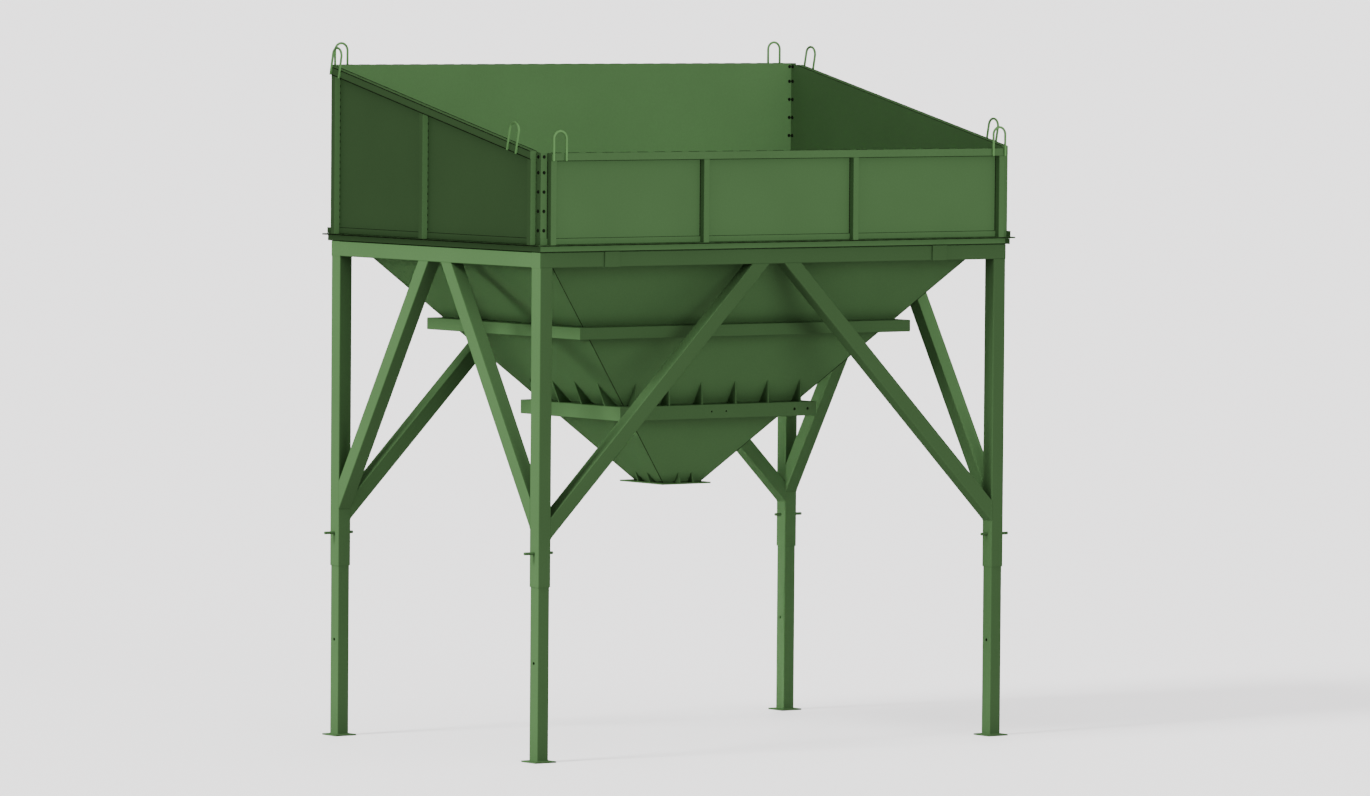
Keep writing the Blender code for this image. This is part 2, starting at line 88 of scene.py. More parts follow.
class HopperSizes(PropertyGroup):
    frame_length: length("Frame length", "Over the outer faces of the legs, along the front", 3.84)
    frame_width: length("Frame width", "Over the outer faces of the legs, front to rear", 2.40)
    beam_top: length("Beam top", "Height of the top of the frame beams", 3.31)
    tube: length("Frame tube", "Outer size of the legs, beams and braces", 0.100)
    tube_wall: length("Tube wall", "Wall of the frame tubes", 0.004)
    tube_corner: length("Tube corner", "Outer corner radius of the frame tubes", 0.007)
    inner_tube: length("Inner leg", "Outer size of the telescopic inner legs", 0.090)
    bar_corner: length("Bar corner", "Outer corner radius of the inner legs and the ring bars", 0.006)
    rail_corner: length("Rail corner", "Outer corner radius of the top rails and the posts", 0.004)
    sleeve_bottom: length("Sleeve bottom", "Height of the lower end of the outer legs", 1.14)
    pin_height: length("Pin height", "Height of the leg pins", 1.36)
    pin_spacing: length("Pin spacing", "Distance between the pin holes of the inner legs", 0.715)
    foot_plate: length("Foot plate", "Side of the square foot plates", 0.165)
    plate_thickness: length("Plate thickness", "Thickness of the foot plates", 0.010)
    pin: length("Leg pin", "Diameter of the leg pins", 0.020)
    long_brace_foot: length("Long brace foot", "Height of the lower end of the front and rear braces", 1.452)
    long_brace_slant: slant("Long brace slant", "Slant of the front and rear braces", 45.0)
    short_brace_foot: length("Short brace foot", "Height of the lower end of the side braces", 1.52)
    short_brace_slant: slant("Short brace slant", "Slant of the side braces", 58.7)
    outlet: length("Outlet", "Side of the square outlet", 0.300)
    upper_ring: length("Upper ring tube", "Outer size of the upper ring's bars", 0.080)
    lower_ring: length("Lower ring tube", "Outer size of the lower ring's bars", 0.095)
    gusset_height: length("Gusset height", "Height of the gussets on the lower ring", 0.150)
    gusset_thickness: length("Gusset thickness", "Thickness of the gussets", 0.008)
    flange_joint: length("Flange joint", "Height of the joint between bin and hopper", 3.355)
    front_top: length("Front wall top", "Height of the low front wall", 3.955)
    rear_top: length("Rear wall top", "Height of the high rear wall", 4.485)
    sheet: length("Sheet", "Thickness of the bin and hopper sheets", 0.004)
    rail: length("Top rail", "Size of the square tube along the top edges", 0.050)
    post: length("Wall post", "Width of the posts on the bin walls", 0.045)
    inner_posts: length("Inner posts", "Distance of the long walls' inner posts from the middle", 0.616)
    side_post: length("Side post", "Distance of the side walls' middle post behind the middle", 0.100)
    angle_leg: length("Foot angle", "Leg of the angles at the flange joint", 0.045)
    angle_thickness: length("Angle thickness", "Thickness of the angles", 0.005)
    corner_leg: length("Corner angle", "Leg of the bolted corner angles", 0.050)
    bolt_step: length("Bolt spacing", "Distance between the bolts of the corner angles", 0.125)
    bolt_inset: length("Bolt inset", "Distance of the bolts from the bin's corner", 0.021)
    bolt_size: length("Bolt head", "Width over the flats of the bolt heads", 0.013)
    loop_bar: length("Loop bar", "Diameter of the lifting loops' bar", 0.016)
    loop_width: length("Loop width", "Width of the lifting loops, between the middles of the bar", 0.100)
    loop_height: length("Loop height", "Height of the lifting loops", 0.200)
    loop_inset: length("Loop inset", "Distance of the lifting loops from the wall's end", 0.110)
    loop_low_inset: length("Low loop inset", "The same for the side walls' front loops", 0.250)
    weld: length("Weld", "Width of the weld beads", 0.007)
    gap: length("Gap", "Clearance between neighbouring pieces", 0.0003)


class HopperColours(PropertyGroup):
    paint: colour("Paint", "Green paint of the whole hopper", (0.066, 0.143, 0.052))
    # Painted shade of the crevices, and also the dark colour of the seams and of the painted shade lines on
    # the side rails.
    crevice_shade_and_seam: colour("Crevice", "Dark of the crevices and the seams", (0.010, 0.019, 0.007))
    bolt: colour("Bolt", "Dark bolt heads", (0.012, 0.018, 0.010))
    loop: colour("Loop", "Lighter green of the lifting loops", (0.125, 0.290, 0.095))
    floor: colour("Floor", "Pale studio floor", (0.80, 0.795, 0.785))


# Places and directions

def sizes():
    """The sizes that are set in the scene."""
    return bpy.context.scene.hopper_sizes


def halves():
    """Half the length and half the width over the outer faces of the legs."""
    s = sizes()
    return s.frame_length / 2, s.frame_width / 2


def leg_middle(corner):
    """The middle of a leg, on the ground."""
    sx, sy = CORNERS[corner]
    x, y = (half - sizes().tube / 2 for half in halves())
    return Vector((sx * x, sy * y, 0))


def braces(corner):
    """Each brace of a corner: kind, outward and sideways direction, middle of the leg's face, foot, slant."""
    s = sizes()
    sx, sy = CORNERS[corner]
    leg = leg_middle(corner)
    for kind, out, across, foot, angle in (
            ("along", sx * RIGHT, BACK, s.long_brace_foot, s.long_brace_slant),
            ("across", sy * BACK, RIGHT, s.short_brace_foot, s.short_brace_slant)):
        yield kind, out, across, leg - out * s.tube / 2, foot, angle


def is_long(side):
    """True for the front and the rear, which are the long sides."""
    return side in ("front", "rear")


def wall_directions(side):
    """Outward direction of a side, and the direction along it."""
    sx, sy = SIDES[side]
    return Vector((sx, sy, 0)), RIGHT if is_long(side) else BACK


def wall_slope(side):
    """Slope of a wall's top edge. The side walls climb from the front wall to the rear one."""
    s = sizes()
    return 0.0 if is_long(side) else math.atan2(s.rear_top - s.front_top, s.frame_width)


def wall_top(side, place):
    """Height of a wall's top edge at a place along the wall."""
    s = sizes()
    half_y = s.frame_width / 2
    y = SIDES[side][1] * half_y if is_long(side) else place
    return s.front_top + (y + half_y) * (s.rear_top - s.front_top) / s.frame_width


def rail_depth(side):
    """Height of a wall's top rail, measured upright."""
    return sizes().rail / math.cos(wall_slope(side))


def hopper_outside(z):
    """Half length and half width of the hopper's outer surface at a height."""
    s = sizes()
    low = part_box("hopper_front")[0].z
    share = (z - low) / (s.beam_top + s.gap + s.angle_thickness - low)
    bottom = s.outlet / 2 + s.sheet
    bays = [half - s.tube - s.gap for half in halves()]
    return [bottom + share * (bay - bottom) for bay in bays]


def band(side, lower, low, upper, high):
    """Corners of a band on one side of the hopper, from its half sizes and height below and above."""
    gap = sizes().gap
    out, along = wall_directions(side)
    near, far = (1, 0) if is_long(side) else (0, 1)
    return [out * half[near] + along * sign * (half[far] - gap) + UP * z
            for half, sign, z in ((lower, -1, low), (lower, 1, low), (upper, 1, high), (upper, -1, high))]


def level_outline(middle, half_x, half_y, z):
    """Corners of a level rectangle."""
    return [middle + Vector((a * half_x, b * half_y, z)) for a, b in SQUARE]


def loop_feet(stand_off):
    """Each lifting loop: side, end, foot at the rail's lower edge, directions along the rail and up."""
    s = sizes()
    half_x, half_y = halves()
    for side in SIDES:
        out, line = wall_directions(side)
        slope = wall_slope(side)
        along = line * math.cos(slope) + UP * math.sin(slope)
        up = UP * math.cos(slope) - line * math.sin(slope)
        if is_long(side):
            half, ends = half_y, {"left": s.loop_inset - half_x, "right": half_x - s.loop_inset}
        else:
            half, ends = half_x, {"front": s.loop_low_inset - half_y, "rear": half_y - s.loop_inset}
        for end, place in ends.items():
            level = wall_top(side, place) - rail_depth(side)
            yield side, end, out * (half + stand_off) + line * place + UP * level, along, up


# Shapes

def add_bar(bm, origin, along, across, size, radius, start, end, wall=0.0):
    """A square bar between two planes, each given as (point, normal). A bar with a wall is an open tube."""
    along = Vector(along).normalized()
    across = Vector(across).normalized()
    place = Matrix((across, along.cross(across), along)).transposed().to_4x4()
    place.translation = Vector(origin)
    part = bmesh.new()
    uncut = 20.0
    bmesh.ops.create_cube(part, size=1.0, matrix=place @ Matrix.Diagonal((size, size, uncut, 1.0)))
    long_edges = [edge for edge in part.edges if edge.calc_length() > uncut / 2]
    bmesh.ops.bevel(part, geom=long_edges, offset=radius, segments=4, profile=0.5, affect="EDGES",
                    material=-1)
    for way, (point, normal) in ((-1, start), (1, end)):
        facing = Vector(normal).normalized()
        if facing.dot(along) < 0:
            facing.negate()
        bmesh.ops.bisect_plane(part, geom=[*part.verts, *part.edges, *part.faces], dist=1e-7, plane_co=point,
                               plane_no=facing * way, clear_outer=True)
    if wall:
        bmesh.ops.solidify(part, geom=part.faces[:], thickness=wall)
    else:
        bmesh.ops.holes_fill(part, edges=[edge for edge in part.edges if edge.is_boundary], sides=0)
    add_part(bm, part)


def to_mesh(bm, name):
    """Turns a bmesh into a mesh and frees it."""
    mesh = bpy.data.meshes.new(name)
    bm.to_mesh(mesh)
    bm.free()
    return mesh


def add_part(bm, part):
    """Moves the shapes of one bmesh into another."""
    mesh = to_mesh(part, "part")
    bm.from_mesh(mesh)
    bpy.data.meshes.remove(mesh)


def add_block(bm, low, high, radius):
    """A box between two opposite corners, with rounded edges."""
    low, high = Vector(low), Vector(high)
    size = [abs(b - a) for a, b in zip(low, high)]
    place = Matrix.Translation((low + high) / 2) @ Matrix.Diagonal((*size, 1.0))
    made = bmesh.ops.create_cube(bm, size=1.0, matrix=place)
    edges = {edge for vert in made["verts"] for edge in vert.link_edges}
    bmesh.ops.bevel(bm, geom=list(edges), offset=radius, segments=2, profile=0.5, affect="EDGES", material=-1)


def push_face(bm, face, step):
    """Extrudes a face by a vector, and gives back the face at the far end."""
    made = bmesh.ops.extrude_face_region(bm, geom=[face])["geom"]
    bmesh.ops.translate(bm, vec=step, verts=[item for item in made if isinstance(item, bmesh.types.BMVert)])
    return [item for item in made if isinstance(item, bmesh.types.BMFace)][0]


def add_prism(bm, outline, push):
    """A flat outline of points in space, extruded by a vector."""
    push_face(bm, bm.faces.new([bm.verts.new(point) for point in outline]), push)


def add_slab(bm, one, two):
    """A solid between two outlines with as many points: one is extruded, then drawn on to the other."""
    one = [Vector(point) for point in one]
    far = push_face(bm, bm.faces.new([bm.verts.new(point) for point in one]), Vector())
    for vert in far.verts:
        nearest = min(range(len(one)), key=lambda i: (vert.co - one[i]).length)
        vert.co = two[nearest]


def add_cylinder(bm, start, end, diameter, segments):
    """A round bar between two points. Gives back its vertices."""
    axis = end - start
    place = Matrix.Translation((start + end) / 2) @ axis.to_track_quat("Z", "Y").to_matrix().to_4x4()
    return bmesh.ops.create_cone(bm, cap_ends=True, segments=segments, radius1=diameter / 2,
                                 radius2=diameter / 2, depth=axis.length, matrix=place)["verts"]


def add_rod(bm, start, end, diameter, segments=28, chamfer=0.0):
    """A round bar between two points, its ends chamfered if a chamfer is given."""
    start, end = Vector(start), Vector(end)
    verts = add_cylinder(bm, start, end, diameter, segments)
    if chamfer:
        axis = (end - start).normalized()
        rims = {edge for vert in verts for edge in vert.link_edges
                if abs((edge.verts[0].co - edge.verts[1].co).normalized().dot(axis)) < 0.5}
        bmesh.ops.bevel(bm, geom=list(rims), offset=chamfer, segments=2, profile=0.5, affect="EDGES",
                        material=-1)


def add_bolt(bm, point, normal, flats, height):
    """Hexagon head on a washer, standing on a surface point."""
    point, normal = Vector(point), Vector(normal)
    washer_thickness, washer_diameter = 0.0016, flats * 1.75
    base = point + normal * washer_thickness
    add_rod(bm, point, base, washer_diameter, 24)
    add_rod(bm, base, base + normal * height, flats * 2 / math.sqrt(3), 6, chamfer=0.0009)


def add_bead(bm, start, end, size, ripple=0.009):
    """A weld bead along a straight line: a rippled rod with narrow ends, half sunk into its corner."""
    start, end = Vector(start), Vector(end)
    along = (end - start).normalized()
    reach = (end - start).length
    count = max(2, round(reach / ripple))
    verts = add_cylinder(bm, start, end, size / 2, 6)
    sides = {edge for vert in verts for edge in vert.link_edges
             if abs((edge.verts[0].co - edge.verts[1].co).dot(along)) > reach / 2}
    cut = bmesh.ops.subdivide_edges(bm, edges=list(sides), cuts=count - 1)
    crest, trough = 2.0, 1.64
    for vert in cut["geom_inner"]:
        if isinstance(vert, bmesh.types.BMVert):
            step = round((vert.co - start).dot(along) / reach * count)
            middle = start + along * (reach * step / count)
            vert.co = middle + (vert.co - middle) * (crest if step % 2 else trough)


def add_bead_loop(bm, points, size, ripple=0.009):
    """Weld beads round a closed outline."""
    for one, two in zip(points, [*points[1:], points[0]]):
        add_bead(bm, one, two, size, ripple)


def add_stitches(bm, start, end, size, dash=0.018, space=0.047):
    """Short weld beads at even steps along a line."""
    count = max(1, round((end - start).length / space))
    step = (end - start) / count
    half = step.normalized() * dash / 2
    for i in range(count):
        middle = start + step * (i + 0.5)
        add_bead(bm, middle - half, middle + half, size)


def add_hoop(bm, foot, along, up, straight, arc, radius):
    """A lifting loop of round bar: straight up, half a turn, straight down."""
    place = Matrix.Translation(foot - along * arc) @ up.to_track_quat("Z", "Y").to_matrix().to_4x4()
    made = bmesh.ops.create_circle(bm, cap_ends=True, segments=16, radius=radius, matrix=place)
    top = push_face(bm, made["verts"][0].link_faces[0], up * straight)
    spun = bmesh.ops.spin(bm, geom=[top], cent=foot + up * straight, axis=up.cross(along), angle=math.pi,
                          steps=24)
    last = [item for item in spun["geom_last"] if isinstance(item, bmesh.types.BMFace)][0]
    push_face(bm, last, up * -straight)
    for face in (top, last):
        if face.is_valid:
            bm.faces.remove(face)


def face_outwards(bm):
    bm.normal_update()
    bmesh.ops.recalc_face_normals(bm, faces=bm.faces)


def shade_evenly(piece):
    """Shades a piece's flat faces as flat."""
    even = piece.modifiers.new("Even shading", "WEIGHTED_NORMAL")
    even.keep_sharp = True


def finish_piece(name, bm, material, nodes=()):
    """Turns a bmesh into a piece that rides on the hopper, and stands for the given CAD nodes."""
    name = name.replace(" ", "_")
    if not bm.faces:
        raise RuntimeError(name + " has no faces")
    face_outwards(bm)
    mesh = to_mesh(bm, name)
    mesh.materials.append(bpy.data.materials[material])
    mesh.shade_smooth()
    mesh.set_sharp_from_angle(angle=math.radians(35.0))
    piece = bpy.data.objects.new(name, mesh)
    bpy.context.scene.collection.objects.link(piece)
    shade_evenly(piece)
    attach(piece, "root")
    if nodes:
        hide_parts(*nodes)
    return piece


def drill(piece, holes):
    """Cuts round holes, each (start, end, diameter), and keeps the result as the piece's mesh."""
    bm = bmesh.new()
    for start, end, diameter in holes:
        add_rod(bm, start, end, diameter, 24)
    face_outwards(bm)
    mesh = to_mesh(bm, "drill")
    cutter = bpy.data.objects.new("drill", mesh)
    bpy.context.scene.collection.objects.link(cutter)
    step = piece.modifiers.new("Holes", "BOOLEAN")
    step.operation = "DIFFERENCE"
    step.solver = "EXACT"
    step.object = cutter
    bpy.context.view_layer.update()
    result = bpy.data.meshes.new_from_object(piece.evaluated_get(bpy.context.evaluated_depsgraph_get()))
    piece.modifiers.clear()
    old = piece.data
    piece.data = result
    bpy.data.meshes.remove(old)
    bpy.data.objects.remove(cutter)
    bpy.data.meshes.remove(mesh)
    shade_evenly(piece)


# Materials

def add_node(nodes, kind, values=None, **settings):
    """A shader node with its settings and the values of its inputs."""
    node = nodes.new("ShaderNode" + kind)
    for name, value in settings.items():
        setattr(node, name, value)
    for name, value in (values or {}).items():
        node.inputs[name].default_value = value
    return node


def paint_material(name, base, crevice_shade, roughness, deepest_shade=0.25):
    """Matte paint with a fine grain, with painted shade where it is near other surfaces and the darkest
    painted shade in crevices.
    """
    material = bpy.data.materials.new(name)
    material.use_nodes = True
    nodes = material.node_tree.nodes
    link = material.node_tree.links.new
    shader = nodes["Principled BSDF"]
    shader.inputs["Roughness"].default_value = roughness
    shader.inputs["Specular IOR Level"].default_value = 0.0

    grain = 0.06
    coords = add_node(nodes, "TexCoord")
    fine = add_node(nodes, "TexNoise", {"Scale": 90.0, "Detail": 3.0})
    broad = add_node(nodes, "TexNoise", {"Scale": 1.7, "Detail": 2.0})
    both = add_node(nodes, "Math", operation="ADD")
    spread = add_node(nodes, "MapRange", {"From Min": 0.6, "From Max": 1.4, "To Min": 1.0 - grain,
                                          "To Max": 1.0 + grain})
    tint = add_node(nodes, "VectorMath", operation="SCALE")
    tint.inputs[0].default_value = base
    link(coords.outputs["Object"], fine.inputs["Vector"])
    link(coords.outputs["Object"], broad.inputs["Vector"])
    link(fine.outputs["Fac"], both.inputs[0])
    link(broad.outputs["Fac"], both.inputs[1])
    link(both.outputs["Value"], spread.inputs["Value"])
    link(spread.outputs["Result"], tint.inputs["Scale"])

    # Painted shade: the colour darkens near other surfaces, down to the given deepest share.
    near = add_node(nodes, "AmbientOcclusion", {"Distance": 0.40}, samples=8)
    shade_fade = add_node(nodes, "MapRange", {"From Min": 0.22, "From Max": 0.90, "To Min": deepest_shade})
    shaded = add_node(nodes, "VectorMath", operation="SCALE")
    link(near.outputs["AO"], shade_fade.inputs["Value"])
    link(tint.outputs["Vector"], shaded.inputs[0])
    link(shade_fade.outputs["Result"], shaded.inputs["Scale"])

    # Painted shade in crevices: in tight corners the colour turns to the dark crevice shade colour.
    crevice_shade_ao = add_node(nodes, "AmbientOcclusion", {"Distance": 0.014}, samples=8)
    depth = add_node(nodes, "MapRange", {"From Min": 0.10, "From Max": 0.55})
    mix = add_node(nodes, "Mix", {"A": (*crevice_shade, 1.0)}, data_type="RGBA")
    link(crevice_shade_ao.outputs["AO"], depth.inputs["Value"])
    link(depth.outputs["Result"], mix.inputs["Factor"])
    link(shaded.outputs["Vector"], mix.inputs["B"])
    link(mix.outputs["Result"], shader.inputs["Base Color"])

    bump = add_node(nodes, "Bump", {"Strength": 0.05, "Distance": 0.002})
    link(fine.outputs["Fac"], bump.inputs["Height"])
    link(bump.outputs["Normal"], shader.inputs["Normal"])


class HOPPER_OT_paint(Operator):
    """Make the paints and give them to the CAD pieces that stay in view"""
    bl_idname = "hopper.paint"
    bl_label = "Paints"

    def execute(self, context):
        colours = context.scene.hopper_colours
        paint, crevice_shade_and_seam, bolt, loop = map(tuple, (colours.paint, colours.crevice_shade_and_seam, colours.bolt, colours.loop))
        # Frame green and Bin green are the same paint with different depths of painted shade; the bin's is
        # lighter.
        paint_material("Frame green", paint, crevice_shade_and_seam, 0.55, 0.75)
        paint_material("Bin green", paint, crevice_shade_and_seam, 0.58, 0.85)
        paint_material("Seam green", crevice_shade_and_seam, crevice_shade_and_seam, 0.6)
        paint_material("Loop green", loop, crevice_shade_and_seam, 0.5)
        paint_material("Dark bolt", bolt, bolt, 0.45)
        for name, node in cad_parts.items():
            for slot in node.material_slots:
                slot.material = bpy.data.materials["Bin green" if name.startswith("wall") else "Frame green"]
        return {"FINISHED"}


class HOPPER_OT_legs(Operator):
    """Telescopic legs: outer legs, inner legs with foot plates, pins"""
    bl_idname = "hopper.legs"
    bl_label = "Legs"

    def execute(self, context):
        s = sizes()
        outer_top = s.beam_top - s.tube - s.gap
        inner_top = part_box("leg_inner_front_left")[1].z
        for corner in CORNERS:
            leg = leg_middle(corner)
            bm = bmesh.new()
            add_bar(bm, leg, UP, RIGHT, s.tube, s.tube_corner, (UP * s.sleeve_bottom, UP),
                    (UP * outer_top, UP), s.tube_wall)
            finish_piece("Outer leg " + corner, bm, "Frame green", ["leg_sleeve_" + corner])

            bm = bmesh.new()
            add_bar(bm, leg, UP, RIGHT, s.inner_tube, s.bar_corner, (UP * s.plate_thickness, UP),
                    (UP * inner_top, UP), s.tube_wall)
            piece = finish_piece("Inner leg " + corner, bm, "Frame green",
                                 ["leg_inner_" + corner])
            hole = leg + UP * (s.pin_height - s.pin_spacing)
            drill(piece, [(hole - RIGHT * s.inner_tube, hole + RIGHT * s.inner_tube, s.pin + 2 * s.gap)])

            bm = bmesh.new()
            half = s.foot_plate / 2
            add_block(bm, leg - Vector((half, half, 0)), leg + Vector((half, half, s.plate_thickness)),
                      radius=0.0015)
            finish_piece("Foot plate " + corner, bm, "Frame green")

            bm = bmesh.new()
            low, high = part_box("leg_pin_" + corner)
            add_rod(bm, (low.x, leg.y, s.pin_height), (high.x, leg.y, s.pin_height), s.pin, chamfer=0.002)
            finish_piece("Leg pin " + corner, bm, "Frame green", ["leg_pin_" + corner])
        return {"FINISHED"}


class HOPPER_OT_frame(Operator):
    """Top frame of four beams, eight braces and two rest plates"""
    bl_idname = "hopper.frame"
    bl_label = "Frame"

    def execute(self, context):
        s = sizes()
        half_x, half_y = halves()
        for side in SIDES:
            out, along = wall_directions(side)
            half, reach = (half_y, half_x) if is_long(side) else (half_x, half_y - s.tube - s.gap)
            middle = out * (half - s.tube / 2) + UP * (s.beam_top - s.tube / 2)
            bm = bmesh.new()
            add_bar(bm, middle, along, out, s.tube, s.tube_corner, (-along * reach, along),
                    (along * reach, along))
            finish_piece("Beam " + side, bm, "Frame green", ["frame_beam_" + side])

        top = UP * (s.beam_top - s.tube - s.gap)
        for corner in CORNERS:
            for kind, out, across, face, foot, angle in braces(corner):
                start = face - out * s.gap
                along = UP * math.sin(angle) - out * math.cos(angle)
                middle = start + UP * (foot + s.tube / 2 / math.cos(angle))
                bm = bmesh.new()
                add_bar(bm, middle, along, across, s.tube, s.tube_corner, (start, out), (top, UP))
                finish_piece(f"Brace {kind} {corner}", bm, "Frame green",
                             [f"brace_{kind}_{corner}"])

        for side in ("left", "right"):
            node = "seat_plate_" + side
            low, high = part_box(node)
            bm = bmesh.new()
            add_block(bm, low, high, radius=0.0012)
            finish_piece("Rest plate " + side, bm, "Frame green", [node])
        return {"FINISHED"}


class HOPPER_OT_hopper(Operator):
    """Four sloping hopper sheets, and the rim angle that carries the bin"""
    bl_idname = "hopper.hopper"
    bl_label = "Hopper"

    def execute(self, context):
        s = sizes()
        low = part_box("hopper_front")[0].z
        bend = s.beam_top + s.gap
        lip_top = bend + s.angle_thickness
        joint = s.flange_joint - s.gap / 2
        outside_low, outside_top = hopper_outside(low), hopper_outside(lip_top)
        level_sheet = [s.sheet / math.sin(math.atan2(lip_top - low, high - foot))
                       for foot, high in zip(outside_low, outside_top)]
        inside_low = [half - sheet for half, sheet in zip(outside_low, level_sheet)]
        inside_top = [half - sheet for half, sheet in zip(outside_top, level_sheet)]
        lip = [half + 0.001 for half in inside_top]
        rim = halves()
        rim_inside = [half - s.angle_thickness for half in rim]
        tip = [half + s.angle_leg for half in rim]
        inset = 0.0005
        for side in SIDES:
            bm = bmesh.new()
            add_slab(bm, band(side, outside_low, low, outside_top, lip_top),
                     band(side, inside_low, low, inside_top, lip_top))
            piece = finish_piece("Hopper sheet " + side, bm, "Frame green",
                                 ["hopper_" + side])
            # The inside faces up, and has the bin's paint, whose painted shade is lighter.
            piece.data.materials.append(bpy.data.materials["Bin green"])
            for face in piece.data.polygons:
                if face.normal.z > 0.2:
                    face.material_index = 1

            # The lip on the beams, the upright above it, and the flange under the bin's flange.
            bm = bmesh.new()
            for outer, inner, bottom, top in ((rim, lip, bend, lip_top),
                                              (rim, rim_inside, bend + inset, joint - inset),
                                              (tip, rim_inside, joint - s.angle_thickness, joint)):
                add_slab(bm, band(side, outer, bottom, outer, top), band(side, inner, bottom, inner, top))
            finish_piece("Hopper rim " + side, bm, "Bin green", ["hopper_" + side])
        return {"FINISHED"}


class HOPPER_OT_rings(Operator):
    """Two rings of square tube round the hopper, and the gussets on the lower one"""
    bl_idname = "hopper.rings"
    bl_label = "Rings"

    def execute(self, context):
        s = sizes()
        for ring, size in (("upper", s.upper_ring), ("lower", s.lower_ring)):
            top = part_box(ring + "_ring_front")[0].z + size
            inner = [half + s.gap for half in hopper_outside(top)]
            for side in SIDES:
                near, far = reversed(inner) if is_long(side) else inner
                out, along = wall_directions(side)
                mitre = along * (far - s.gap)
                bm = bmesh.new()
                add_bar(bm, out * (near + size / 2) + UP * (top - size / 2), along, UP, size, s.bar_corner,
                        (out * near - mitre, along + out), (out * near + mitre, along - out))
                piece = finish_piece(f"{ring.capitalize()} ring {side}", bm, "Frame green",
                                     [f"{ring}_ring_{side}"])
                if ring == "lower" and side == "front":
                    face = out * (near + size) + UP * (top - size / 2)
                    before, behind = face + out * 0.01, face - out * 0.02
                    drill(piece, [(before + along * place, behind + along * place, diameter)
                                  for place, diameter in FRONT_BAR_HOLES.items()])
                if ring == "lower":
                    self.add_gussets(side, top, near + size)
        return {"FINISHED"}

    def add_gussets(self, side, top, edge):
        """The gussets of one side, from the ring bar's outer edge up to the hopper sheet, and their welds."""
        s = sizes()
        out, along = wall_directions(side)
        near, places = (1, LONG_BAR_GUSSETS) if is_long(side) else (0, SHORT_BAR_GUSSETS)
        peak = top + s.gusset_height
        foot, head = hopper_outside(top)[near] + 2 * s.gap, hopper_outside(peak)[near]
        step = 0.001
        outline = ((foot, top - step), (edge, top - step), (edge, top), (head + 2 * s.gap, peak))
        half = along * s.gusset_thickness / 2
        bm = bmesh.new()
        for place in places:
            add_prism(bm, [out * a + along * place - half + UP * z for a, z in outline], half * 2)
            for face in (along * place - half, along * place + half):
                root = face + out * foot + UP * top
                add_bead(bm, root, face + out * edge + UP * top, s.weld * 0.7)
                add_bead(bm, root, face + out * (head + step) + UP * peak, s.weld * 0.7)
        finish_piece("Ring gussets " + side, bm, "Frame green")


